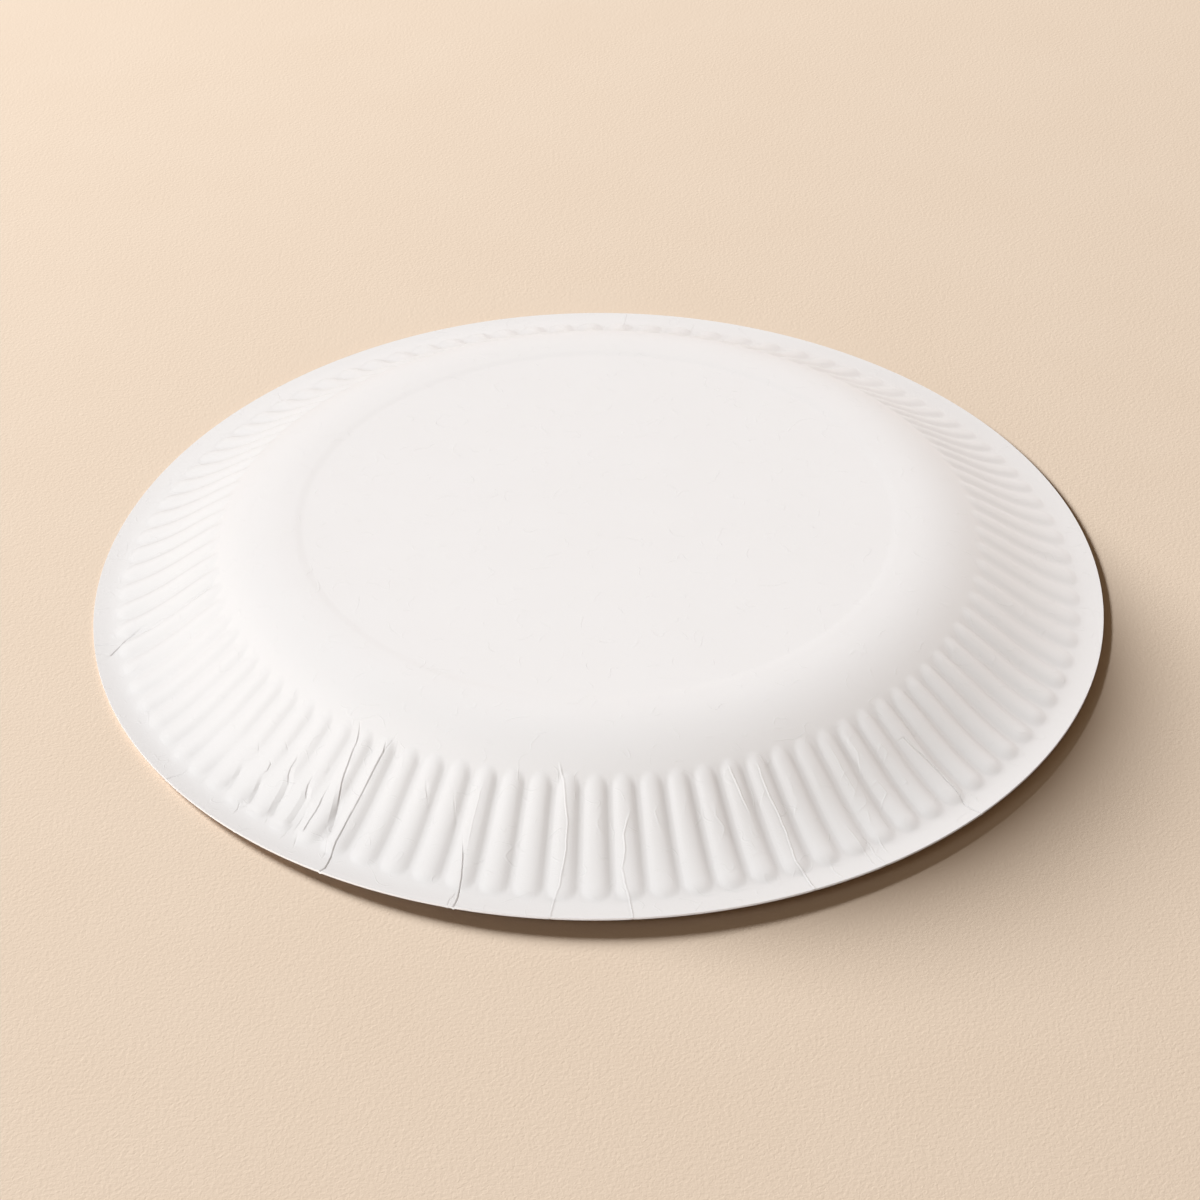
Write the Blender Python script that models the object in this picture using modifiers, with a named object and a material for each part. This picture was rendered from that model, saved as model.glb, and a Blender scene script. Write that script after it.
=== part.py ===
"""Round white paper plate, pressed from one sheet of board and lying upside down on its rim.

Units are metres, with +Z up. The plate's axis is the Z axis, and Z = 0 is the surface it lies on.
The outer surface, which is the underside of the plate in use, is modelled as one open sheet: a
recessed centre panel, the step round it, a flat ring, a rounded shoulder, a curved wall with
raised radial flutes, and a narrow rim. The board's thickness is then added inwards.
"""

from math import atan2, cos, pi, radians, sin, sqrt, tan

import bmesh
import bpy

# Overall sizes of the outer surface
PLATE_DIAMETER = 0.230
PLATE_DEPTH = 0.0189
BOARD_THICKNESS = 0.00045

# Narrow rim outside the flutes: a shallow hollow curve, which runs on from the wall's slope and
# turns up again at the cut edge
RIM_WIDTH = 0.0050
RIM_FOOT_ANGLE = radians(11.0)
RIM_LIP_ANGLE = radians(6.0)

# Raised flutes round the wall, with a round section and round ends that rise over the end length
FLUTE_COUNT = 96
FLUTE_LENGTH = 0.0245
FLUTE_HEIGHT = 0.0010
FLUTE_END_LENGTH = 0.0028
FLUTE_SECTION_POWER = 3.0

# Plain strip between the shoulder and the flutes' inner tips
FLUTE_START_GAP = 0.0008

# Rounded shoulder between the wall and the flat ring
SHOULDER_RADIUS = 0.0248
SHOULDER_ANGLE = radians(35.4)

# Flat ring that the plate stands on in use, and the step down to the centre panel inside it
RING_WIDTH = 0.0018
STEP_WIDTH = 0.0025
PANEL_RECESS = 0.00024

# Spring in the dried board: the rim stands highest at front and back, with a weaker third lobe
SADDLE_RISE = 0.00095
SADDLE_DIRECTION = radians(91.4)
LOBE_RISE = 0.00030
LOBE_DIRECTION = radians(-15.1)

# Colour and surface of the uncoated board
BOARD_COLOUR = (0.86, 0.84, 0.83, 1.0)
BOARD_ROUGHNESS = 0.85

# How finely the curved parts are divided
SHOULDER_BANDS = 4
WALL_BANDS = 2
COLUMNS_PER_FLUTE = 4
END_ROW_PLACE = 1 / 3
SHARP_EDGE_ANGLE = radians(40.0)

# Radii and heights that follow from the sizes above, from the edge inwards
PLATE_RADIUS = PLATE_DIAMETER / 2
RIM_START = PLATE_RADIUS - RIM_WIDTH
RIM_TURN = tan(RIM_FOOT_ANGLE) + tan(RIM_LIP_ANGLE)
RIM_START_HEIGHT = RIM_WIDTH * (RIM_TURN / 3 - tan(RIM_LIP_ANGLE))
RIM_LOWEST = PLATE_RADIUS - RIM_WIDTH * sqrt(tan(RIM_LIP_ANGLE) / RIM_TURN)
FLUTE_END = RIM_START
FLUTE_START = FLUTE_END - FLUTE_LENGTH
FLUTE_PITCH = 2 * pi / FLUTE_COUNT
SHOULDER_END = FLUTE_START - FLUTE_START_GAP
SHOULDER_END_HEIGHT = PLATE_DEPTH - SHOULDER_RADIUS * (1 - cos(SHOULDER_ANGLE))
SHOULDER_START = SHOULDER_END - SHOULDER_RADIUS * sin(SHOULDER_ANGLE)
STEP_RADIUS = SHOULDER_START - RING_WIDTH
PANEL_RADIUS = STEP_RADIUS - STEP_WIDTH


def wall_height(radius):
    """Height of the wall between flutes: a smooth curve from the shoulder's end to the rim."""
    run = RIM_START - SHOULDER_END
    share = (radius - SHOULDER_END) / run
    upper_slope = -tan(SHOULDER_ANGLE) * run
    lower_slope = -tan(RIM_FOOT_ANGLE) * run
    from_top = (2 * share**3 - 3 * share**2 + 1) * SHOULDER_END_HEIGHT
    from_top += (share**3 - 2 * share**2 + share) * upper_slope
    from_rim = (3 * share**2 - 2 * share**3) * RIM_START_HEIGHT
    from_rim += (share**3 - share**2) * lower_slope
    return from_top + from_rim


def rim_height(radius):
    """Height of the rim above its cut edge: the steeper, the nearer to the wall."""
    inwards = PLATE_RADIUS - radius
    return RIM_TURN * inwards**3 / (3 * RIM_WIDTH**2) - tan(RIM_LIP_ANGLE) * inwards


def outline_height(radius):
    """Height of the turned outer surface, without flutes, above the rim's cut edge."""
    if radius <= STEP_RADIUS:
        share = max(0.0, (radius - PANEL_RADIUS) / STEP_WIDTH)
        return PLATE_DEPTH - PANEL_RECESS * (1 - share)
    if radius <= SHOULDER_START:
        return PLATE_DEPTH
    if radius <= SHOULDER_END:
        along = radius - SHOULDER_START
        return PLATE_DEPTH - SHOULDER_RADIUS + sqrt(SHOULDER_RADIUS**2 - along**2)
    if radius <= RIM_START:
        return wall_height(radius)
    return rim_height(radius)


def spring_height(radius, angle):
    """How far the board has sprung up or down, from nothing at the shoulder to most at the edge."""
    reach = max(0.0, radius - SHOULDER_START) / (PLATE_RADIUS - SHOULDER_START)
    saddle = SADDLE_RISE * cos(2 * (angle - SADDLE_DIRECTION))
    lobe = LOBE_RISE * cos(3 * (angle - LOBE_DIRECTION))
    return (saddle + lobe) * reach**2


def offset_from_crest(angle):
    """Share of half a flute's pitch between this angle and the nearest crest: 0 to 1."""
    pitches = angle / FLUTE_PITCH
    return abs(pitches - round(pitches)) * 2


def is_off_crest(vertex):
    """Whether a vertex of a fluted row lies beside its flute's crest."""
    return offset_from_crest(atan2(vertex.co.y, vertex.co.x)) > 1 / COLUMNS_PER_FLUTE


def flute_height(angle):
    """Height of a full flute's rounded section above the valleys."""
    return FLUTE_HEIGHT * (1 - offset_from_crest(angle) ** FLUTE_SECTION_POWER)


def end_curve(radius, angle):
    """How far a flute's round end lies behind its tip at this angle."""
    half_width = radius * FLUTE_PITCH / 2
    across = offset_from_crest(angle) * cos(SHOULDER_ANGLE)
    return half_width * (1 - sqrt(1 - across**2))


def outer_edges(sheet):
    """Edges of the sheet's outer border."""
    return [edge for edge in sheet.edges if edge.is_boundary]


def add_row(sheet, radius_at, columns, flute_share=0.0):
    """Extrude the sheet's border once and set the new row on the plate's surface.

    radius_at gives the row's radius at an angle, columns is the number of vertices round the
    row, and flute_share is how much of the flutes' height the row has.
    """
    extruded = bmesh.ops.extrude_edge_only(sheet, edges=outer_edges(sheet))["geom"]
    row = [item for item in extruded if isinstance(item, bmesh.types.BMVert)]
    set_row(row, radius_at, columns, flute_share)
    return row


def set_row(row, radius_at, columns, flute_share=0.0):
    """Move the vertices of one row to even angles, their radius and their height."""
    step = 2 * pi / columns
    for vertex in row:
        angle = round(atan2(vertex.co.y, vertex.co.x) / step) * step
        radius = radius_at(angle)
        vertex.co.x = radius * cos(angle)
        vertex.co.y = radius * sin(angle)
        vertex.co.z = outline_height(radius) + flute_share * flute_height(angle)
        vertex.co.z += spring_height(radius, angle)


def at(radius):
    """A row of one radius all round."""
    return lambda angle: radius


def inner_end(distance):
    """A row that follows the flutes' inner ends, this far outside their tips."""
    return lambda angle: FLUTE_START + end_curve(FLUTE_START, angle) + distance


def outer_end(distance):
    """A row that follows the flutes' outer ends, this far inside their tips."""
    return lambda angle: FLUTE_END - end_curve(FLUTE_END, angle) - distance


def add_flute_rows(sheet):
    """Add the fluted band, with several columns to each flute, and narrow it again at the rim."""
    columns = FLUTE_COUNT * COLUMNS_PER_FLUTE
    nose = FLUTE_END_LENGTH * END_ROW_PLACE
    nose_share = 1 - (1 - END_ROW_PLACE) ** 2

    add_row(sheet, at(FLUTE_START + nose), FLUTE_COUNT)
    bmesh.ops.subdivide_edges(sheet, edges=outer_edges(sheet), cuts=COLUMNS_PER_FLUTE - 1)
    border = {vertex for edge in outer_edges(sheet) for vertex in edge.verts}
    set_row(border, inner_end(nose), columns, nose_share)

    add_row(sheet, inner_end(FLUTE_END_LENGTH), columns, 1.0)
    first = FLUTE_START + end_curve(FLUTE_START, FLUTE_PITCH / 2) + FLUTE_END_LENGTH
    last = FLUTE_END - end_curve(FLUTE_END, FLUTE_PITCH / 2) - FLUTE_END_LENGTH
    for band in range(1, WALL_BANDS):
        add_row(sheet, at(first + (last - first) * band / WALL_BANDS), columns, 1.0)
    add_row(sheet, outer_end(FLUTE_END_LENGTH), columns, 1.0)
    add_row(sheet, outer_end(nose), columns, nose_share)

    tips = add_row(sheet, at(FLUTE_END), columns)
    bmesh.ops.dissolve_verts(sheet, verts=[vertex for vertex in tips if is_off_crest(vertex)])


def make_sheet():
    """The plate's outer surface as one open sheet of triangles, facing outwards and up."""
    sheet = bmesh.new()
    bmesh.ops.create_circle(
        sheet, cap_ends=True, cap_tris=True, segments=FLUTE_COUNT, radius=PANEL_RADIUS
    )
    for vertex in sheet.verts:
        vertex.co.z = outline_height(0.0)

    add_row(sheet, at(STEP_RADIUS), FLUTE_COUNT)
    add_row(sheet, at(SHOULDER_START), FLUTE_COUNT)
    for band in range(1, SHOULDER_BANDS + 1):
        turn = SHOULDER_ANGLE * band / SHOULDER_BANDS
        add_row(sheet, at(SHOULDER_START + SHOULDER_RADIUS * sin(turn)), FLUTE_COUNT)
    add_row(sheet, at(FLUTE_START), FLUTE_COUNT)
    add_flute_rows(sheet)
    add_row(sheet, at(RIM_LOWEST), FLUTE_COUNT)
    add_row(sheet, at(PLATE_RADIUS), FLUTE_COUNT)

    bmesh.ops.triangulate(sheet, faces=sheet.faces, quad_method="SHORT_EDGE", ngon_method="BEAUTY")
    facing_down = [face for face in sheet.faces if face.normal.z < 0]
    bmesh.ops.reverse_faces(sheet, faces=facing_down)
    lowest = min(vertex.co.z for vertex in sheet.verts)
    bmesh.ops.translate(sheet, verts=sheet.verts, vec=(0, 0, BOARD_THICKNESS - lowest))
    return sheet


def make_board_material():
    """Matt white uncoated board."""
    material = bpy.data.materials.new("white_board")
    material.use_nodes = True
    shader = material.node_tree.nodes["Principled BSDF"]
    shader.inputs["Base Color"].default_value = BOARD_COLOUR
    shader.inputs["Roughness"].default_value = BOARD_ROUGHNESS
    shader.inputs["Metallic"].default_value = 0.0
    return material


def make_plate(collection):
    """The plate: the outer sheet, thickened inwards to a board."""
    sheet = make_sheet()
    mesh = bpy.data.meshes.new("plate")
    sheet.to_mesh(mesh)
    sheet.free()
    mesh.shade_smooth()
    mesh.set_sharp_from_angle(angle=SHARP_EDGE_ANGLE)
    mesh.materials.append(make_board_material())

    plate = bpy.data.objects.new("plate", mesh)
    collection.objects.link(plate)
    board = plate.modifiers.new("board_thickness", "SOLIDIFY")
    board.thickness = BOARD_THICKNESS
    board.offset = -1.0
    board.use_even_offset = True
    board.use_rim = True
    return plate


def main():
    """Build the plate in a scene of its own."""
    for item in list(bpy.data.objects):
        bpy.data.objects.remove(item)
    collection = bpy.data.collections.new("paper_plate")
    bpy.context.scene.collection.children.link(collection)
    make_plate(collection)


main()
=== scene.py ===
"""White pressed paper plate, lying upside down on its rim, finished for a close look.

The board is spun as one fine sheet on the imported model's own profile, pressed with its flutes,
creased where handling has folded it, and given its thickness inwards. Lengths are in metres.
"""

import logging
from collections.abc import Iterable
from dataclasses import dataclass
from enum import Enum
from itertools import pairwise
from math import cos, hypot, pi, radians, sin, tan
from random import Random

import bmesh
import bpy
import numpy as np
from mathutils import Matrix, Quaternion, Vector


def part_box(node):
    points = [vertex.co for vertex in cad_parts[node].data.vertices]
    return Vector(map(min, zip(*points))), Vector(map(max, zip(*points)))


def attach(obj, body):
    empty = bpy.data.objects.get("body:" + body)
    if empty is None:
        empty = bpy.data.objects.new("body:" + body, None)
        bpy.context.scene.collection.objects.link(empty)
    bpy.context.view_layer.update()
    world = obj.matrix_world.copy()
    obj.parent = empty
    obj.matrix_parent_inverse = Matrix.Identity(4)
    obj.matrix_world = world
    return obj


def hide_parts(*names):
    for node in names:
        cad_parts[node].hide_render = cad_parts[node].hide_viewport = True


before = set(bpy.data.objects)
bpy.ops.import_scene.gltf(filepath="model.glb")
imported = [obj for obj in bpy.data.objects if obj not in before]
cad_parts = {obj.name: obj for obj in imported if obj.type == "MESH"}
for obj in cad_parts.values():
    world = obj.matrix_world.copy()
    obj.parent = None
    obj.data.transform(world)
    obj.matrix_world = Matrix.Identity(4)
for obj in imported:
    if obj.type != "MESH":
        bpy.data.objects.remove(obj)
logger = logging.getLogger("paper_plate")

MILLIMETRE = 0.001
# Vertices this close are one, and one this close to a ring or a cut lies on it.
SAME_POINT = 1e-6
ON_LINE = 1e-5


def ease(share: np.ndarray) -> np.ndarray:
    """Smooth step from 0 to 1 as the share goes from 0 to 1, held at both ends."""
    held = np.clip(share, 0.0, 1.0)
    return held * held * (3 - 2 * held)


@dataclass(frozen=True)
class PressedForm:
    """The plate's turned outer surface, from the centre panel to the cut edge of the rim."""

    radius: float = 0.115
    depth: float = 0.0189
    thickness: float = 0.00045
    rim_width: float = 0.0050
    rim_foot_angle: float = radians(11.0)
    lip_angle: float = radians(6.0)
    flute_length: float = 0.0245
    plain_strip: float = 0.0008
    shoulder_radius: float = 0.0248
    shoulder_angle: float = radians(35.4)
    ring_width: float = 0.0018
    step_width: float = 0.0025
    panel_recess: float = 0.00024
    saddle_rise: float = 0.00095
    saddle_direction: float = radians(91.4)
    lobe_rise: float = 0.00030
    lobe_direction: float = radians(-15.1)

    @property
    def rim_start(self) -> float:
        """Radius at which the flutes end and the rim starts."""
        return self.radius - self.rim_width

    @property
    def flute_start(self) -> float:
        """Radius of the flutes' inner tips."""
        return self.rim_start - self.flute_length

    @property
    def shoulder_end(self) -> float:
        """Radius at which the rounded shoulder runs into the wall."""
        return self.flute_start - self.plain_strip

    @property
    def shoulder_start(self) -> float:
        """Radius at which the flat ring rounds over into the shoulder."""
        return self.shoulder_end - self.shoulder_radius * sin(self.shoulder_angle)

    @property
    def step_radius(self) -> float:
        """Outer radius of the step round the centre panel."""
        return self.shoulder_start - self.ring_width

    @property
    def panel_radius(self) -> float:
        """Radius of the flat centre panel."""
        return self.step_radius - self.step_width

    def turned_height(self, radius: np.ndarray) -> np.ndarray:
        """Height of the turned surface above the mean plane of the rim's edge.

        Args:
            radius: Distances from the plate's axis.

        Returns:
            One height for each radius.
        """
        into_step = ease((radius - self.panel_radius) / self.step_width)
        base = self.depth - self.panel_recess * (1 - into_step)
        along = np.clip(radius - self.shoulder_start, 0, self.shoulder_radius)
        shoulder = self.depth - self.shoulder_radius + np.sqrt(self.shoulder_radius**2 - along**2)
        return np.select(
            [
                radius <= self.shoulder_start,
                radius <= self.shoulder_end,
                radius <= self.rim_start,
            ],
            [base, shoulder, self.wall_height(radius)],
            self.rim_height(radius),
        )

    def rim_height(self, radius: np.ndarray) -> np.ndarray:
        """Height of the rim, a shallow hollow curve from the wall's foot up to the edge.

        Args:
            radius: Distances from the plate's axis.

        Returns:
            One height for each radius.
        """
        inwards = self.radius - radius
        turn = tan(self.lip_angle) + tan(self.rim_foot_angle)
        return turn * inwards**3 / (3 * self.rim_width**2) - tan(self.lip_angle) * inwards

    def wall_height(self, radius: np.ndarray) -> np.ndarray:
        """Height of the wall under the flutes: one smooth curve from the shoulder to the rim.

        Args:
            radius: Distances from the plate's axis.

        Returns:
            One height for each radius.
        """
        run = self.rim_start - self.shoulder_end
        share = (radius - self.shoulder_end) / run
        top = self.depth - self.shoulder_radius * (1 - cos(self.shoulder_angle))
        turn = tan(self.lip_angle) + tan(self.rim_foot_angle)
        foot = self.rim_width * (turn / 3 - tan(self.lip_angle))
        height = (2 * share**3 - 3 * share**2 + 1) * top
        height += (share**3 - 2 * share**2 + share) * -tan(self.shoulder_angle) * run
        height += (3 * share**2 - 2 * share**3) * foot
        height += (share**3 - share**2) * -tan(self.rim_foot_angle) * run
        return height

    def spring(self, radius: np.ndarray, angle: np.ndarray) -> np.ndarray:
        """How far the dried board has sprung, from nothing at the shoulder to most at the edge.

        Args:
            radius: Distances from the plate's axis.
            angle: Directions round the axis.

        Returns:
            One rise for each point.
        """
        reach = np.clip(radius - self.shoulder_start, 0, None) / (self.radius - self.shoulder_start)
        saddle = self.saddle_rise * np.cos(2 * (angle - self.saddle_direction))
        lobe = self.lobe_rise * np.cos(3 * (angle - self.lobe_direction))
        return (saddle + lobe) * reach**2


@dataclass(frozen=True)
class SoftStretch:
    """A stretch of the wall whose flutes stand less proud than the rest."""

    first: float
    last: float
    share: float
    run_in: float = radians(6.0)

    def strength(self, angle: np.ndarray) -> np.ndarray:
        """Share of the full height that the flutes keep in each direction.

        Args:
            angle: Directions round the axis.

        Returns:
            One share for each direction.
        """
        turned = np.mod(angle - self.first, 2 * pi)
        inside = ease(turned / self.run_in) * ease((self.last - self.first - turned) / self.run_in)
        return 1 - (1 - self.share) * inside


@dataclass(frozen=True)
class PinchedFlutes:
    """Neighbouring flutes that were knocked: their left sides are eased, their middles flat."""

    eased_first: float = radians(197.0)
    first: float = radians(214.0)
    last: float = radians(237.8)
    run_in: float = radians(4.0)
    fade_start: float = 0.0935
    fade_end: float = 0.1000
    return_end: float = 0.1065
    kept: float = 0.35
    eased_power: float = 1.25
    steeper_power: float = 3.4

    def inside(self, angle: np.ndarray, first: float) -> np.ndarray:
        """How far each direction lies inside the knocked stretch, from 0 to 1.

        Args:
            angle: Directions round the axis, from 0 to a full turn.
            first: Where the stretch starts.

        Returns:
            One share for each direction.
        """
        return ease((angle - first) / self.run_in) * ease((self.last - angle) / self.run_in)

    def depth_kept(self, radius: np.ndarray) -> np.ndarray:
        """Share of the valleys' depth kept at each radius: least across the knocked middles.

        Args:
            radius: Distances from the plate's axis.

        Returns:
            One share for each radius.
        """
        gone = ease((radius - self.fade_start) / (self.fade_end - self.fade_start))
        back = ease((radius - self.fade_end) / (self.return_end - self.fade_end))
        return 1 - (1 - self.kept) * gone * (1 - back)


@dataclass(frozen=True)
class Flutes:
    """The raised flutes round the wall: long rounded bars with plain land between them."""

    form: PressedForm = PressedForm()
    pinch: PinchedFlutes = PinchedFlutes()
    count: int = 96
    inner_height: float = 0.00102
    outer_height: float = 0.00093
    inner_end_length: float = 0.0028
    outer_end_length: float = 0.0030
    land: float = 0.0012
    crown_power: float = 2.3
    foot_power: float = 1.02
    sunk_share: float = 0.5
    sunk_length: float = 0.0080
    sunk_start: float = 0.0030
    height_spread: float = 0.07
    drift_mean: float = radians(-0.28)
    drift_waves: tuple[tuple[float, float], ...] = (
        (-1.57, 0.48),
        (0.21, -0.20),
        (0.50, 0.16),
        (0.49, 0.82),
        (0.12, 0.32),
        (-0.06, 0.37),
    )
    soft_stretches: tuple[SoftStretch, ...] = (
        SoftStretch(first=radians(192.0), last=radians(238.5), share=0.6),
        SoftStretch(first=radians(338.0), last=radians(415.0), share=0.72),
    )
    settling_rounds: int = 6
    seed: int = 4

    @property
    def pitch(self) -> float:
        """Angle from one flute to the next."""
        return 2 * pi / self.count

    def drift(self, angle: np.ndarray) -> np.ndarray:
        """How far the flutes stand from even spacing round the plate.

        Args:
            angle: Directions round the axis.

        Returns:
            One angle for each direction.
        """
        total = np.full_like(angle, self.drift_mean)
        for order, (cosine, sine) in enumerate(self.drift_waves, start=1):
            total += radians(cosine) * np.cos(order * angle) + radians(sine) * np.sin(order * angle)
        return total

    def placed(self, even_angle: np.ndarray) -> np.ndarray:
        """Directions on the pressed plate of directions in the evenly spaced pattern."""
        return even_angle + self.drift(even_angle)

    def pattern_angle(self, angle: np.ndarray) -> np.ndarray:
        """Directions in the evenly spaced pattern of directions on the pressed plate.

        Args:
            angle: Directions on the pressed plate.

        Returns:
            One angle in the pattern for each direction.
        """
        even = angle.copy()
        for _ in range(self.settling_rounds):
            even += angle - self.placed(even)
        return even

    def strengths(self) -> np.ndarray:
        """Share of the full height that each flute was pressed to."""
        draw = Random(self.seed)
        return np.array([1 + draw.uniform(-1, 1) * self.height_spread for _ in range(self.count)])

    def valley(self, radius: np.ndarray, pitches: np.ndarray, eased: np.ndarray) -> np.ndarray:
        """Depth of the valleys between the flutes: 0 on the crowns, 1 on the plain land.

        Args:
            radius: Distances from the plate's axis.
            pitches: Directions in the pattern, counted in flutes.
            eased: How far each flute's left side is eased and its right side steepened, 0 to 1.

        Returns:
            One share for each point.
        """
        half_pitch = radius * self.pitch / 2
        off_crown = pitches - np.round(pitches)
        across = 2 * np.abs(off_crown) * half_pitch / (half_pitch - self.land / 2)
        inner = (self.form.flute_start + self.inner_end_length - radius) / self.inner_end_length
        outer = (radius - self.form.rim_start + self.outer_end_length) / self.outer_end_length
        beyond = np.maximum(np.maximum(inner, outer), 0)
        share = np.clip(np.hypot(across, beyond), 0, 1)
        knocked = np.where(off_crown < 0, self.pinch.eased_power, self.pinch.steeper_power)
        power = self.crown_power + (knocked - self.crown_power) * eased
        return 1 - (1 - share**power) ** self.foot_power

    def rise(self, radius: np.ndarray, angle: np.ndarray) -> np.ndarray:
        """Height of the flutes above the wall.

        Args:
            radius: Distances from the plate's axis.
            angle: Directions on the plate.

        Returns:
            One height for each point.
        """
        pitches = self.pattern_angle(angle) / self.pitch
        depth = self.valley(radius, pitches, self.pinch.inside(angle, self.pinch.eased_first))
        knocked = self.pinch.inside(angle, self.pinch.first)
        depth *= 1 - knocked * (1 - self.pinch.depth_kept(radius))
        beyond_tips = radius - self.form.flute_start
        sunk = self.sunk_share * (1 - ease(beyond_tips / self.sunk_length))
        below = sunk * ease(beyond_tips / self.sunk_start)
        outwards = beyond_tips / self.form.flute_length
        height = self.inner_height + (self.outer_height - self.inner_height) * outwards
        strength = self.strengths()[np.round(pitches).astype(int) % self.count]
        for stretch in self.soft_stretches:
            strength = strength * stretch.strength(angle)
        return height * strength * ((1 - sunk) * (1 - depth) - below * depth)


class CreaseForm(Enum):
    """How a crease stands: as a raised pinch, or as a groove pressed in."""

    PINCH = 1.0
    GROOVE = -1.0


class Around(Enum):
    """What the first number of a crease's points counts: turns of a degree, or flutes."""

    DEGREES = 0
    FLUTES = 1


@dataclass(frozen=True)
class Crease:
    """A sharp fold in the board, along points given by direction and millimetres from the axis."""

    path: tuple[tuple[float, float], ...]
    counted: Around = Around.DEGREES
    form: CreaseForm = CreaseForm.GROOVE
    depth: float = 0.00010
    left_side: float = 0.00020
    right_side: float = 0.00028
    fade_in: float = 0.004
    fade_out: float = 0.0
    step: float = 0.0016
    waver: float = 0.00011
    cut_beside: float = 0.0011
    cut_beyond: float = 0.0006
    seed: int = 1

    def direction(self, place: float) -> float:
        """The direction on the plate of one point's first number.

        Args:
            place: The number, in degrees or in flutes.

        Returns:
            The direction as an angle.
        """
        if self.counted is Around.DEGREES:
            return radians(place)
        flutes = Flutes()
        return float(flutes.placed(np.array([place * flutes.pitch]))[0])

    def line(self) -> list[Vector]:
        """The path as points on the plan, close together and slightly wavering.

        Returns:
            The points, from the path's start to its end.
        """
        draw = Random(self.seed)
        turns = [(self.direction(place), reach * MILLIMETRE) for place, reach in self.path]
        corners = [Vector((cos(turn) * reach, sin(turn) * reach, 0)) for turn, reach in turns]
        points = [corners[0]]
        for start, end in pairwise(corners):
            parts = max(1, round((end - start).length / self.step))
            side = Vector((start.y - end.y, end.x - start.x, 0)).normalized()
            for part in range(1, parts + 1):
                sway = draw.uniform(-1, 1) * self.waver if part < parts else 0.0
                points.append(start.lerp(end, part / parts) + side * sway)
        return points

    def cut(self, sheet: bmesh.types.BMesh) -> None:
        """Cut the flat sheet along the fold's foot lines and its ridge.

        Args:
            sheet: The flat sheet, whose faces near the path are split.
        """
        points = self.line()
        margin = max(self.left_side, self.right_side) + self.cut_beside
        low = Vector((min(p.x for p in points) - margin, min(p.y for p in points) - margin))
        high = Vector((max(p.x for p in points) + margin, max(p.y for p in points) + margin))
        around = [
            face
            for face in sheet.faces
            if low.x < face.verts[0].co.x < high.x and low.y < face.verts[0].co.y < high.y
        ]
        for start, end in pairwise(points):
            along = end - start
            side = Vector((-along.y, along.x, 0)).normalized()
            for offset in (self.left_side, 0.0, -self.right_side):
                near = [face for face in around if self.touches(face, start, end, margin)]
                parts = {item for face in near for item in (face, *face.edges, *face.verts)}
                cut = bmesh.ops.bisect_plane(
                    sheet,
                    geom=list(parts),
                    dist=ON_LINE,
                    plane_co=start + side * offset,
                    plane_no=side,
                )
                for item in cut["geom_cut"]:
                    if isinstance(item, bmesh.types.BMEdge):
                        item.smooth = False
                kept = [face for face in around if face.is_valid]
                fresh = [item for item in cut["geom"] if isinstance(item, bmesh.types.BMFace)]
                around = list(dict.fromkeys(kept + fresh))

    def touches(self, face: bmesh.types.BMFace, start: Vector, end: Vector, margin: float) -> bool:
        """Whether a face lies beside one straight part of the path.

        Args:
            face: A face of the flat sheet.
            start: The part's first point.
            end: The part's last point.
            margin: How far to the side still counts.

        Returns:
            True where the face's middle is within the margin.
        """
        along = end - start
        middle = face.calc_center_median() - start
        share = middle.dot(along) / along.length_squared
        reach = self.cut_beyond / along.length
        return -reach <= share <= 1 + reach and abs(middle.cross(along).z) / along.length < margin

    def rise(self, plan: np.ndarray) -> np.ndarray:
        """Height that the fold adds.

        Args:
            plan: Points on the plan, one row of x and y each.

        Returns:
            One height for each point.
        """
        points = np.array([point[:2] for point in self.line()])
        lengths = np.hypot(*np.diff(points, axis=0).T)
        starts = np.concatenate([[0.0], np.cumsum(lengths)])
        total = starts[-1]
        best = np.full(len(plan), np.inf)
        found = np.zeros(len(plan))
        for index, (start, end) in enumerate(pairwise(points)):
            along = (end - start) / lengths[index]
            offset = plan - start
            run = np.clip(offset @ along, 0, lengths[index])
            away = offset - run[:, None] * along
            distance = np.hypot(away[:, 0], away[:, 1])
            left = along[0] * offset[:, 1] - along[1] * offset[:, 0] > 0
            width = np.where(left, self.left_side, self.right_side)
            place = starts[index] + run
            fade = np.ones(len(plan))
            if self.fade_in:
                fade = np.minimum(fade, place / self.fade_in)
            if self.fade_out:
                fade = np.minimum(fade, (total - place) / self.fade_out)
            share = np.clip(1 - distance / width, 0, 1) * np.clip(fade, 0, 1)
            nearer = distance < best
            found = np.where(nearer, share, found)
            best = np.minimum(best, distance)
        return self.form.value * self.depth * found


def fold(*path: tuple[float, float], seed: int, **changes: float) -> Crease:
    """A thin fold whose points are given by flute number and millimetres from the axis."""
    return Crease(path, counted=Around.FLUTES, seed=seed, **changes)


def nick(*path: tuple[float, float], seed: int, **changes: float) -> Crease:
    """A short fold that runs out at both ends."""
    return fold(*path, seed=seed, fade_in=0.001, fade_out=0.001, **changes)


def ridge(*path: tuple[float, float], seed: int, **changes: float) -> Crease:
    """A thin raised pinch whose points are given as a fold's are.

    Args:
        path: The points.
        seed: Seed of the pinch's waver.
        changes: Sizes that differ from a plain pinch's, by name.

    Returns:
        The pinch.
    """
    raised = {"depth": 0.00009, "left_side": 0.00034, "right_side": 0.00028, "fade_in": 0.0015}
    return Crease(
        path, counted=Around.FLUTES, form=CreaseForm.PINCH, seed=seed, **(raised | changes)
    )


def vein(*path: tuple[float, float], seed: int, **changes: float) -> Crease:
    """A raised pinch that runs out at its outer end."""
    return ridge(*path, seed=seed, fade_out=0.001, **changes)


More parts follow.
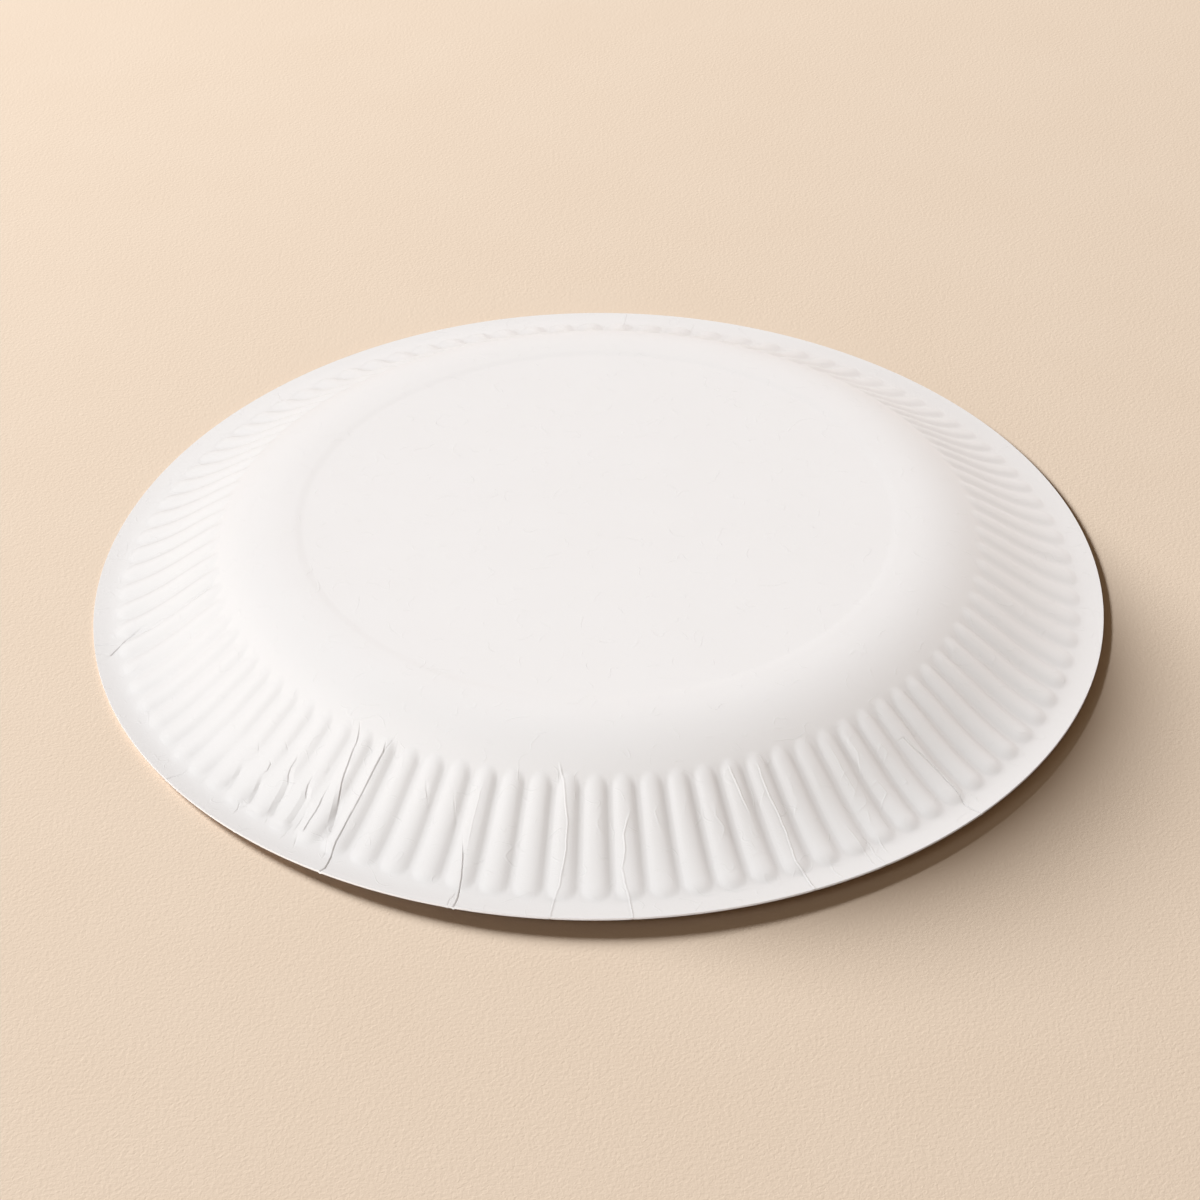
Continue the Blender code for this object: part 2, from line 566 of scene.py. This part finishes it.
def leaf(*path: tuple[float, float], seed: int, depth: float, drop: float = 0.0012) -> Crease:
    """A knocked flute's side: a wide drop along the line's right, rising again on its left.

    Args:
        path: The points, given as a fold's are.
        seed: Seed of the line's waver.
        depth: How deep the drop is.
        drop: How wide it is.

    Returns:
        The side.
    """
    return Crease(
        path,
        counted=Around.FLUTES,
        depth=depth,
        left_side=0.0010,
        right_side=drop,
        fade_in=0.0030,
        fade_out=0.0012,
        waver=0.00005,
        seed=seed,
    )


CREASES: tuple[Crease, ...] = (
    # The fold from the left of the wall out over the rim
    Crease(
        ((190.0, 85.0), (191.1, 88.0), (191.25, 92.0), (192.1, 97.0), (191.4, 101.5),
         (190.75, 106.0), (191.25, 108.0), (193.1, 111.5)),
        depth=0.00022,
        seed=11,
    ),
    Crease(((190.2, 102.0), (190.4, 104.0), (190.7, 106.0)), depth=0.00014, seed=12),
    Crease(((191.6, 109.0), (191.0, 112.0), (190.9, 114.9)), depth=0.00016, seed=13),
    Crease(((193.0, 111.5), (192.5, 114.9)), seed=14),
    # The two long folds at the front left, and the knocked flutes beside them
    fold((62.48, 84.6), (62.75, 87.2), (62.84, 88.4), (62.93, 91.3), (63.05, 94.5), (63.21, 97.3),
         (63.33, 99.2), seed=15, depth=0.00030, fade_in=0.003),
    leaf((63.2, 97.0), (63.33, 99.0), (63.43, 101.0), (63.54, 103.2), (63.68, 106.6),
         seed=41, depth=0.00040),
    nick((63.66, 106.2), (63.78, 108.0), (63.9, 109.6), (63.94, 111.6), seed=42),
    fold((63.93, 86.4), (64.04, 88.4), (64.02, 91.0), (64.01, 97.0), (63.99, 101.0),
         (64.02, 104.8), (64.04, 107.0), (64.09, 108.6), (64.14, 110.4), (64.24, 113.6),
         (64.2, 114.9), seed=16, depth=0.00030, fade_in=0.0015),
    fold((64.3, 82.6), (64.18, 84.6), (64.12, 86.4), (64.05, 88.4), seed=43, fade_out=0.001),
    leaf((59.2, 100.6), (59.28, 101.8), (59.40, 103.4), (59.50, 105.2), (59.6, 107.6),
         seed=44, depth=0.00016, drop=0.0009),
    nick((59.24, 97.0), (59.4, 98.0), (59.54, 98.8), seed=45),
    nick((60.18, 94.3), (60.34, 94.7), (60.5, 95.3), seed=46),
    nick((60.11, 98.5), (60.25, 99.0), (60.31, 100.3), (60.25, 101.4), seed=47, depth=0.00020),
    leaf((60.23, 100.9), (60.33, 102.4), (60.45, 104.2), (60.53, 106.0), (60.6, 107.8),
         seed=48, depth=0.00028, drop=0.0007),
    fold((60.98, 94.2), (61.03, 96.2), (61.05, 97.8), (61.13, 99.0), (61.31, 100.3), seed=49,
         depth=0.00020, fade_in=0.002, fade_out=0.001),
    leaf((61.06, 97.6), (61.16, 99.0), (61.31, 100.2), (61.4, 102.2), (61.46, 104.4),
         (61.55, 106.6), (61.56, 107.8), seed=50, depth=0.00032, drop=0.0013),
    nick((62.15, 93.1), (62.31, 94.1), seed=51),
    nick((61.99, 97.3), (62.01, 98.9), (62.11, 100.3), (62.23, 101.2), seed=52, depth=0.00022),
    leaf((62.04, 98.0), (62.12, 100.0), (62.23, 101.4), (62.27, 104.2), (62.29, 106.6),
         (62.22, 107.9), seed=53, depth=0.00036, drop=0.0013),
    nick((62.5, 103.6), (62.54, 106.0), (62.56, 108.0), seed=54),
    fold((62.74, 96.6), (62.74, 98.6), (62.8, 101.2), (62.81, 104.4), (62.85, 106.6),
         (62.9, 107.9), seed=55, depth=0.00028, fade_out=0.001),
    # Wrinkles in the rim below the knocked flutes
    fold((57.75, 108.8), (57.86, 111.2), (57.78, 113.4), (57.78, 114.8), seed=56, depth=0.00012),
    nick((58.6, 108.8), (58.6, 110.4), seed=57),
    fold((58.5, 113.2), (58.44, 114.6), seed=58, fade_in=0.001),
    nick((60.3, 108.2), (60.46, 110.0), (60.49, 111.4), seed=59, depth=0.00012),
    nick((60.6, 108.0), (60.5, 109.6), seed=64),
    nick((61.5, 107.8), (61.6, 109.6), seed=60, depth=0.00012),
    fold((61.42, 111.6), (61.26, 113.4), (61.1, 114.8), seed=61, fade_in=0.001),
    nick((62.4, 108.2), (62.38, 111.4), seed=62),
    nick((62.7, 107.8), (62.82, 109.6), (62.94, 111.4), seed=63),
    # Folds and pinches over the front, from left to right
    fold((67.73, 99.0), (67.91, 102.4), (68.03, 106.0), (68.1, 108.8), (68.14, 112.0),
         (68.13, 114.9), seed=17, depth=0.00026),
    ridge((67.95, 89.2), (67.95, 93.2), (67.95, 98.4), (68.0, 103.2), seed=18, fade_out=0.004),
    fold((68.04, 110.2), (67.95, 112.8), (67.97, 114.9), seed=70, depth=0.00012, fade_in=0.001),
    fold((65.95, 90.6), (66.1, 92.6), (66.3, 94.6), seed=71, fade_out=0.002, fade_in=0.002),
    fold((67.06, 92.0), (67.2, 94.0), (67.3, 95.6), seed=72, fade_out=0.002, fade_in=0.002),
    ridge((70.6, 83.6), (70.7, 85.4), (70.83, 87.2), (70.95, 91.6), (71.06, 94.8), (71.03, 101.2),
          (70.93, 107.4), (70.8, 110.0), (70.76, 114.9), seed=19, depth=0.00016),
    vein((72.1, 93.0), (72.02, 95.0), (72.16, 96.4), seed=73),
    ridge((73.19, 92.5), (73.03, 94.5), (72.89, 96.9), (72.91, 100.0), (72.78, 103.3),
          (72.87, 107.4), (72.95, 109.6), (72.99, 114.9), seed=20, depth=0.00016),
    vein((74.12, 92.2), (74.0, 93.4), (74.08, 95.6), seed=74),
    vein((75.12, 91.8), (74.98, 94.2), seed=75),
    vein((76.1, 93.4), (76.0, 95.4), (76.2, 97.6), (76.04, 99.8), seed=76),
    ridge((76.93, 86.6), (77.01, 90.5), (77.06, 93.3), (77.18, 96.9), seed=21, depth=0.00018,
          fade_out=0.002),
    vein((77.67, 94.6), (77.95, 92.7), seed=77),
    ridge((77.99, 87.4), (77.99, 92.5), (78.05, 95.9), (78.11, 101.2), (78.0, 107.4),
          (78.09, 109.6), (78.11, 114.9), seed=22, depth=0.00017),
    vein((78.9, 92.6), (78.84, 95.0), seed=78),
    vein((78.88, 96.2), (78.56, 98.8), seed=79),
    vein((79.0, 109.2), (78.94, 111.6), (79.03, 114.6), seed=80),
    vein((79.86, 92.4), (79.82, 95.0), seed=81),
    ridge((80.03, 103.6), (80.12, 108.0), (80.12, 111.2), (80.08, 114.4), seed=23),
    ridge((80.3, 106.4), (80.42, 108.4), (80.35, 111.2), (80.38, 114.8), seed=24),
    vein((80.82, 107.4), (80.74, 110.0), (80.71, 112.8), seed=82),
    vein((80.93, 89.4), (80.93, 95.2), (80.95, 98.4), (80.77, 99.4), seed=83),
    vein((81.01, 101.8), (80.82, 105.0), seed=84),
    vein((81.8, 88.8), (81.82, 92.4), (81.56, 95.4), seed=85),
    vein((81.5, 98.3), (81.88, 98.4), (81.94, 101.2), (81.46, 102.9), seed=86),
    vein((82.55, 93.9), (82.83, 93.0), (82.92, 94.8), (82.58, 95.7), seed=87),
    vein((82.6, 100.8), (82.86, 101.2), (82.88, 99.0), seed=88),
    fold((83.54, 93.5), (83.9, 94.0), (84.0, 96.8), (84.11, 99.0), (84.18, 103.2),
         (84.17, 107.4), (84.14, 108.9), (84.03, 110.9), (84.1, 114.9), seed=25,
         depth=0.00018, fade_in=0.002),
    fold((84.44, 90.8), (84.33, 95.2), (84.31, 99.4), seed=89, fade_out=0.002),
    vein((84.42, 107.6), (84.52, 110.0), (84.46, 113.8), seed=90),
    ridge((85.02, 94.6), (85.06, 99.0), seed=91, fade_out=0.002),
    # Faint creases at the right and at the far side
    Crease(((353.0, 108.6), (353.6, 112.4)), fade_out=0.002, seed=26),
    Crease(((5.5, 110.5), (6.4, 113.9)), fade_out=0.001, seed=27),
    Crease(((28.75, 106.5), (30.0, 109.5)), fade_out=0.002, seed=28),
    Crease(((86.25, 105.5), (86.1, 110.0), (85.9, 114.9)), form=CreaseForm.PINCH, seed=29),
    Crease(((76.9, 107.0), (76.8, 113.0)), depth=0.00010, fade_out=0.002, seed=30),
    Crease(((137.5, 102.0), (136.2, 108.0), (134.6, 114.0)), depth=0.00008, fade_out=0.002,
           seed=31),
)


class Bench:
    """Lays out the nodes of one material and wires them."""

    noise_roughness: float = 0.55
    strand_twist: float = 0.4
    gap_scale: float = 1.3
    gap_shift: float = 7.0
    gap_low: float = 0.5
    gap_high: float = 0.62

    def __init__(self, name: str) -> None:
        """Start a material that holds only its shader and output.

        Args:
            name: The material's name.
        """
        self.material = bpy.data.materials.new(name)
        self.material.use_nodes = True
        self.tree = self.material.node_tree
        self.shader = self.tree.nodes["Principled BSDF"]

    def add(self, kind: str, **settings: object) -> bpy.types.Node:
        """Add a node and set its own properties.

        Args:
            kind: The node's type, without the ShaderNode at its front.
            settings: Properties of the node, by name.

        Returns:
            The new node.
        """
        node = self.tree.nodes.new("ShaderNode" + kind)
        for name, value in settings.items():
            setattr(node, name, value)
        return node

    def feed(self, node: bpy.types.Node, **inputs: object) -> bpy.types.Node:
        """Give a node's inputs a value or another node's output.

        Args:
            node: The node to feed.
            inputs: Values or sockets, by input name with underscores for spaces.

        Returns:
            The same node.
        """
        for name, value in inputs.items():
            socket = node.inputs[name.replace("_", " ")]
            if isinstance(value, bpy.types.NodeSocket):
                self.tree.links.new(value, socket)
            else:
                socket.default_value = value
        return node

    def maths(
        self,
        operation: str,
        first: bpy.types.NodeSocket | float,
        second: bpy.types.NodeSocket | float = 0.0,
    ) -> bpy.types.NodeSocket:
        """One sum of two values or sockets.

        Args:
            operation: The Math node's operation.
            first: The first value or socket.
            second: The second value or socket.

        Returns:
            The result's socket.
        """
        node = self.add("Math", operation=operation)
        for socket, value in zip(node.inputs, (first, second)):
            if isinstance(value, bpy.types.NodeSocket):
                self.tree.links.new(value, socket)
            else:
                socket.default_value = value
        return node.outputs["Value"]

    def noise(
        self, place: bpy.types.NodeSocket, scale: float, detail: float = 2.0, twist: float = 0.0
    ) -> bpy.types.NodeSocket:
        """Soft noise on a place.

        Args:
            place: The coordinates to read.
            scale: Blotches to the metre.
            detail: How many finer layers are added.
            twist: How much the pattern is distorted.

        Returns:
            The socket with the noise, from 0 to 1.
        """
        node = self.add("TexNoise")
        self.feed(node, Vector=place, Scale=scale, Detail=detail, Distortion=twist)
        self.feed(node, Roughness=self.noise_roughness)
        return node.outputs["Fac"]

    def between(
        self,
        value: bpy.types.NodeSocket,
        low: float,
        high: float,
        first: float = 0.0,
        last: float = 1.0,
    ) -> bpy.types.NodeSocket:
        """Smooth map of a value from one range to another, held at both ends.

        Args:
            value: The socket to map.
            low: Value that gives the first result.
            high: Value that gives the last result.
            first: Result at and below the low value.
            last: Result at and above the high value.

        Returns:
            The result's socket.
        """
        node = self.add("MapRange", interpolation_type="SMOOTHSTEP")
        self.feed(node, Value=value, From_Min=low, From_Max=high, To_Min=first, To_Max=last)
        return node.outputs["Result"]

    def strands(
        self, place: bpy.types.NodeSocket, scale: float, width: float
    ) -> bpy.types.NodeSocket:
        """Short curling strands: the level lines of one noise, broken up by another.

        Args:
            place: The coordinates to read.
            scale: Curls to the metre.
            width: Half width of a strand, as a share of the noise's range.

        Returns:
            The socket with the strands, 1 along each and 0 between.
        """
        noise = self.noise(place, scale, 1.0, self.strand_twist)
        level = self.maths("ABSOLUTE", self.maths("SUBTRACT", noise, 0.5))
        lines = self.between(level, 0.0, width, 1.0, 0.0)
        gaps = self.noise(place, scale * self.gap_scale + self.gap_shift, 1.0)
        return self.maths("MULTIPLY", lines, self.between(gaps, self.gap_low, self.gap_high))

    def tint(
        self, share: bpy.types.NodeSocket, first: tuple[float, ...], last: tuple[float, ...]
    ) -> bpy.types.NodeSocket:
        """A colour between two.

        Args:
            share: How far from the first colour to the last.
            first: Colour at 0.
            last: Colour at 1.

        Returns:
            The colour's socket.
        """
        node = self.add("Mix", data_type="RGBA")
        colours = [socket for socket in node.inputs if socket.type == "RGBA"]
        colours[0].default_value = first
        colours[1].default_value = last
        self.tree.links.new(share, node.inputs["Factor"])
        return next(socket for socket in node.outputs if socket.type == "RGBA")

    def relief(self, height: bpy.types.NodeSocket, depth: float) -> None:
        """Bump the shader's surface.

        Args:
            height: The relief, from 0 to 1.
            depth: Real height of the relief.
        """
        bump = self.add("Bump")
        self.feed(bump, Strength=1.0, Distance=depth, Height=height)
        self.tree.links.new(bump.outputs["Normal"], self.shader.inputs["Normal"])


@dataclass(frozen=True)
class UncoatedBoard:
    """White uncoated board: matt, faintly mottled, with fine fibres pressed into its face."""

    light: tuple[float, float, float, float] = (0.862, 0.834, 0.834, 1.0)
    shade: tuple[float, float, float, float] = (0.856, 0.827, 0.826, 1.0)
    roughness: float = 0.85
    specular: float = 0.25
    mottle_scale: float = 60.0
    mottle_detail: float = 5.0
    mottle_range: tuple[float, float] = (0.3, 0.7)
    fibre_scale: float = 620.0
    fibre_width: float = 0.05
    fibre_share: float = 0.30
    wrinkle_scale: float = 150.0
    wrinkle_width: float = 0.022
    wrinkle_share: float = 1.4
    tooth_scale: float = 1700.0
    tooth_share: float = 0.25
    relief_depth: float = 0.00003

    def make(self) -> bpy.types.Material:
        """Build the material.

        Returns:
            The board's material.
        """
        bench = Bench("white_board")
        place = bench.add("TexCoord").outputs["Object"]
        mottle = bench.noise(place, self.mottle_scale, self.mottle_detail)
        mottle = bench.between(mottle, *self.mottle_range)
        bench.feed(
            bench.shader,
            Base_Color=bench.tint(mottle, self.shade, self.light),
            Roughness=self.roughness,
            Specular_IOR_Level=self.specular,
        )
        fibres = bench.strands(place, self.fibre_scale, self.fibre_width)
        wrinkles = bench.strands(place, self.wrinkle_scale, self.wrinkle_width)
        tooth = bench.noise(place, self.tooth_scale)
        relief = bench.maths("MULTIPLY", fibres, self.fibre_share)
        for layer, share in ((wrinkles, self.wrinkle_share), (tooth, self.tooth_share)):
            relief = bench.maths("ADD", relief, bench.maths("MULTIPLY", layer, share))
        bench.relief(relief, self.relief_depth)
        return bench.material


@dataclass(frozen=True)
class PaleCard:
    """The pale sand-coloured card that the plate lies on."""

    light: tuple[float, float, float, float] = (0.852, 0.682, 0.540, 1.0)
    shade: tuple[float, float, float, float] = (0.842, 0.670, 0.527, 1.0)
    roughness: float = 0.9
    specular: float = 0.2
    mottle_scale: float = 30.0
    mottle_detail: float = 6.0
    mottle_range: tuple[float, float] = (0.25, 0.75)
    grain_scale: float = 1250.0
    grain_twist: float = 0.5
    broad_scale: float = 375.0
    broad_detail: float = 3.0
    broad_share: float = 0.4
    relief_depth: float = 0.00004

    def make(self) -> bpy.types.Material:
        """Build the material.

        Returns:
            The card's material.
        """
        bench = Bench("pale_card")
        place = bench.add("TexCoord").outputs["Object"]
        mottle = bench.noise(place, self.mottle_scale, self.mottle_detail)
        mottle = bench.between(mottle, *self.mottle_range)
        bench.feed(
            bench.shader,
            Base_Color=bench.tint(mottle, self.shade, self.light),
            Roughness=self.roughness,
            Specular_IOR_Level=self.specular,
        )
        grain = bench.noise(place, self.grain_scale, 1.0, self.grain_twist)
        broad = bench.noise(place, self.broad_scale, self.broad_detail)
        relief = bench.maths("ADD", grain, bench.maths("MULTIPLY", broad, self.broad_share))
        bench.relief(relief, self.relief_depth)
        return bench.material


@dataclass
class PaperPlate:
    """The whole plate, pressed from one sheet of board."""

    form: PressedForm = PressedForm()
    flutes: Flutes = Flutes()
    creases: tuple[Crease, ...] = CREASES
    inner_columns: int = 192
    columns_per_flute: int = 10
    crowding: float = 0.5
    panel_border: float = 0.0020
    inner_tip: float = 0.0032
    outer_tip: float = 0.0034
    lip: float = 0.0006
    lip_edge: float = 0.0002
    edge_round: float = 0.00009
    edge_segments: int = 2
    edge_angle: float = radians(80.0)

    def rows(self) -> np.ndarray:
        """Radii of the sheet's rings of vertices, from the axis to the edge.

        Returns:
            The radii, closest together where the form turns most.
        """
        form = self.form
        stretches = (
            (form.panel_radius - self.panel_border, 4),
            (form.panel_radius, 2),
            (form.step_radius, 7),
            (form.shoulder_start, 2),
            (form.shoulder_end, 12),
            (form.flute_start, 2),
            (form.flute_start + self.inner_tip, 8),
            (form.rim_start - self.outer_tip, 9),
            (form.rim_start, 8),
            (form.radius - self.lip, 4),
            (form.radius - self.lip_edge, 1),
            (form.radius, 1),
        )
        radii = [0.0]
        for end, parts in stretches:
            start = radii[-1]
            radii.extend(start + (end - start) * part / parts for part in range(1, parts + 1))
        return np.array(radii)

    def spun_sheet(self) -> bmesh.types.BMesh:
        """The flat sheet: rings of vertices round the axis, closer together along the flutes.

        Returns:
            A flat sheet that faces up.
        """
        rows = self.rows()
        sheet = bmesh.new()
        profile = [sheet.verts.new((radius, 0, 0)) for radius in rows]
        edges = [sheet.edges.new(pair) for pair in pairwise(profile)]
        bmesh.ops.spin(
            sheet,
            geom=profile + edges,
            cent=(0, 0, 0),
            axis=(0, 0, 1),
            angle=2 * pi,
            steps=self.inner_columns,
            use_merge=True,
        )
        bmesh.ops.remove_doubles(sheet, verts=sheet.verts, dist=SAME_POINT)
        fine_from = self.form.shoulder_end - ON_LINE
        rings = [edge for edge in sheet.edges if self.runs_round(edge, fine_from)]
        cuts = self.flutes.count * self.columns_per_flute // self.inner_columns - 1
        bmesh.ops.subdivide_edges(sheet, edges=rings, cuts=cuts, use_grid_fill=True)
        self.set_out(sheet, rows)
        bmesh.ops.recalc_face_normals(sheet, faces=sheet.faces)
        if sum(face.normal.z for face in sheet.faces) < 0:
            bmesh.ops.reverse_faces(sheet, faces=sheet.faces)
        return sheet

    @staticmethod
    def runs_round(edge: bmesh.types.BMEdge, beyond: float) -> bool:
        """Whether an edge runs round the axis, outside a radius.

        Args:
            edge: An edge of the flat sheet.
            beyond: The radius.

        Returns:
            True for an edge along a ring outside the radius.
        """
        first, second = (hypot(vertex.co.x, vertex.co.y) for vertex in edge.verts)
        return abs(first - second) < ON_LINE and first > beyond

    def set_out(self, sheet: bmesh.types.BMesh, rows: np.ndarray) -> None:
        """Move the sheet's vertices onto their rings and columns, crowded along the valleys.

        Args:
            sheet: The flat sheet.
            rows: Radii of its rings.
        """
        flutes = self.flutes
        vertices = list(sheet.verts)
        plan = np.array([vertex.co[:2] for vertex in vertices])
        radius = np.hypot(plan[:, 0], plan[:, 1])
        radius = rows[np.abs(rows[None, :] - radius[:, None]).argmin(axis=1)]
        step = flutes.pitch / self.columns_per_flute
        angle = np.mod(np.round(np.arctan2(plan[:, 1], plan[:, 0]) / step) * step, 2 * pi)
        whole = angle / flutes.pitch
        crowded = (whole + self.crowding * np.sin(2 * pi * whole) / (2 * pi)) * flutes.pitch
        placed = flutes.placed(crowded)
        for vertex, reach, turn in zip(vertices, radius, placed):
            vertex.co = (reach * cos(turn), reach * sin(turn), 0)

    def press(self, sheet: bmesh.types.BMesh, top: float) -> None:
        """Raise the flat sheet to the plate's form, with its flutes and creases.

        Args:
            sheet: The flat sheet.
            top: Height of the ring that the plate stands on in use.
        """
        vertices = list(sheet.verts)
        plan = np.array([vertex.co[:2] for vertex in vertices])
        radius = np.hypot(plan[:, 0], plan[:, 1])
        angle = np.mod(np.arctan2(plan[:, 1], plan[:, 0]), 2 * pi)
        height = self.form.turned_height(radius) + self.form.spring(radius, angle)
        fluted = radius > self.form.shoulder_end
        height[fluted] += self.flutes.rise(radius[fluted], angle[fluted])
        for crease in self.creases:
            height += crease.rise(plan)
        for vertex, rise in zip(vertices, height + top - self.form.depth):
            vertex.co.z = rise

    def build(self, top: float) -> bpy.types.Object:
        """Make the plate.

        Args:
            top: Height of the ring that the plate stands on in use.

        Returns:
            The finished piece.
        """
        sheet = self.spun_sheet()
        for crease in self.creases:
            crease.cut(sheet)
        self.press(sheet, top)
        many_sided = [face for face in sheet.faces if len(face.verts) > 4]
        bmesh.ops.triangulate(sheet, faces=many_sided, ngon_method="BEAUTY")
        mesh = bpy.data.meshes.new("pressed_plate")
        sheet.to_mesh(mesh)
        sheet.free()
        mesh.shade_smooth()
        mesh.materials.append(UncoatedBoard().make())
        plate = bpy.data.objects.new("pressed_plate", mesh)
        bpy.context.scene.collection.objects.link(plate)
        board = plate.modifiers.new("board_thickness", "SOLIDIFY")
        board.thickness = self.form.thickness
        board.offset = -1.0
        edge = plate.modifiers.new("cut_edge", "BEVEL")
        edge.width = self.edge_round
        edge.segments = self.edge_segments
        edge.limit_method = "ANGLE"
        edge.angle_limit = self.edge_angle
        return plate


@dataclass
class CardTable:
    """The wide pale surface under the plate."""

    half_width: float = 4.0
    squares: int = 8
    drop: float = 0.00002

    def build(self) -> bpy.types.Object:
        """Make the surface, just under the plate's rim.

        Returns:
            The table.
        """
        grid = bmesh.new()
        bmesh.ops.create_grid(
            grid, x_segments=self.squares, y_segments=self.squares, size=self.half_width
        )
        bmesh.ops.translate(grid, verts=grid.verts, vec=(0, 0, -self.drop))
        mesh = bpy.data.meshes.new("card_table")
        grid.to_mesh(mesh)
        grid.free()
        mesh.materials.append(PaleCard().make())
        table = bpy.data.objects.new("card_table", mesh)
        bpy.context.scene.collection.objects.link(table)
        return table


class LitPart(Enum):
    """The only part of the set that a lamp lights."""

    PLATE = "lit_plate"
    TABLE = "lit_table"


COOL_WHITE = (0.935, 0.98, 1.0)


@dataclass(frozen=True)
class SoftLamp:
    """One round softbox, aimed at the plate and linked to one part of the set."""

    name: str
    lights: LitPart
    azimuth: float
    elevation: float
    power: float
    distance: float = 1.7
    size: float = 1.0
    colour: tuple[float, float, float] = (1.0, 1.0, 1.0)

    def build(self, receivers: bpy.types.Collection) -> bpy.types.Object:
        """Hang the lamp.

        Args:
            receivers: The things that the lamp lights.

        Returns:
            The lamp's object.
        """
        lamp = bpy.data.lights.new(self.name, "AREA")
        lamp.shape = "DISK"
        lamp.size = self.size
        lamp.energy = self.power
        lamp.color = self.colour
        if self.lights is LitPart.PLATE:
            # Thrown on from the rim, this light would leave a glow on the table.
            lamp.cycles.max_bounces = 0
        item = bpy.data.objects.new(self.name, lamp)
        around, up = radians(self.azimuth), radians(self.elevation)
        place = Vector((cos(around) * cos(up), sin(around) * cos(up), sin(up))) * self.distance
        item.location = place
        item.rotation_euler = (-place).to_track_quat("-Z", "Y").to_euler()
        item.light_linking.receiver_collection = receivers
        bpy.context.scene.collection.objects.link(item)
        return item


@dataclass
class Studio:
    """Soft lamps round the plate, two low ones for the table and its shadow, and a surround."""

    lamps: tuple[SoftLamp, ...] = (
        SoftLamp("back_softbox", LitPart.PLATE, azimuth=110.0, elevation=26.0, power=6.5),
        SoftLamp("left_softbox", LitPart.PLATE, azimuth=190.0, elevation=28.0, power=10.6,
                 colour=COOL_WHITE),
        SoftLamp("front_softbox", LitPart.PLATE, azimuth=235.0, elevation=39.0, power=19.9,
                 colour=COOL_WHITE),
        SoftLamp("right_softbox", LitPart.PLATE, azimuth=28.0, elevation=26.0, power=14.5),
        SoftLamp("corner_softbox", LitPart.PLATE, azimuth=70.0, elevation=26.0, power=6.1),
        SoftLamp("table_back", LitPart.TABLE, azimuth=140.0, elevation=19.5, power=800.0,
                 distance=5.6, size=1.7, colour=COOL_WHITE),
        SoftLamp("table_left", LitPart.TABLE, azimuth=205.0, elevation=25.0, power=4.0,
                 distance=2.2, size=0.8, colour=COOL_WHITE),
    )
    surround: tuple[float, float, float, float] = (1.0, 0.72, 0.46, 1.0)
    surround_strength: float = 0.12
    seen: tuple[float, float, float, float] = (0.86, 0.72, 0.58, 1.0)

    def build(self, lit: dict[LitPart, bpy.types.Object]) -> None:
        """Hang the lamps and set the surround.

        Args:
            lit: The piece that each kind of lamp lights.
        """
        receivers = {part: bpy.data.collections.new(part.value) for part in lit}
        for part, piece in lit.items():
            receivers[part].objects.link(piece)
        for lamp in self.lamps:
            lamp.build(receivers[lamp.lights])
        world = bpy.data.worlds.new("even_surround")
        bpy.context.scene.world = world
        world.use_nodes = True
        tree = world.node_tree
        light = tree.nodes["Background"]
        light.inputs["Color"].default_value = self.surround
        light.inputs["Strength"].default_value = self.surround_strength
        view = tree.nodes.new("ShaderNodeBackground")
        view.inputs["Color"].default_value = self.seen
        rays = tree.nodes.new("ShaderNodeLightPath")
        mix = tree.nodes.new("ShaderNodeMixShader")
        tree.links.new(rays.outputs["Is Camera Ray"], mix.inputs["Fac"])
        tree.links.new(light.outputs["Background"], mix.inputs[1])
        tree.links.new(view.outputs["Background"], mix.inputs[2])
        tree.links.new(mix.outputs["Shader"], tree.nodes["World Output"].inputs["Surface"])


@dataclass(frozen=True)
class Camera:
    """A short telephoto view from the front, looking down on the plate."""

    place: tuple[float, float, float] = (0.0, -0.55472, 0.40972)
    aim: tuple[float, float, float] = (0.00042, -0.00822, 0.00169)
    roll: float = radians(-0.656)
    lens: float = 90.0
    sensor: float = 36.0
    nearest: float = 0.01
    farthest: float = 20.0

    def build(self) -> bpy.types.Object:
        """Set the camera up and make it the scene's own.

        Returns:
            The camera.
        """
        data = bpy.data.cameras.new("view")
        data.lens = self.lens
        data.sensor_width = self.sensor
        data.clip_start = self.nearest
        data.clip_end = self.farthest
        camera = bpy.data.objects.new("view", data)
        line = Vector(self.aim) - Vector(self.place)
        camera.location = self.place
        turn = line.to_track_quat("-Z", "Y") @ Quaternion((0, 0, 1), self.roll)
        camera.rotation_euler = turn.to_euler()
        bpy.context.scene.collection.objects.link(camera)
        bpy.context.scene.camera = camera
        return camera


def main() -> None:
    """Build the plate, what it lies on, the light and the view."""
    logging.basicConfig(level=logging.INFO, format="%(name)s: %(message)s")
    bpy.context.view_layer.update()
    bpy.context.scene.view_settings.view_transform = "Standard"

    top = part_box("plate")[1].z
    plate = PaperPlate().build(top)
    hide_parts("plate")
    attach(plate, "root")
    logger.info("plate pressed, %d vertices before its thickness", len(plate.data.vertices))

    table = CardTable().build()
    logger.info("table laid")
    Studio().build({LitPart.PLATE: plate, LitPart.TABLE: table})
    logger.info("lamps hung")
    Camera().build()
    logger.info("camera set")


if __name__ == "__main__":
    main()
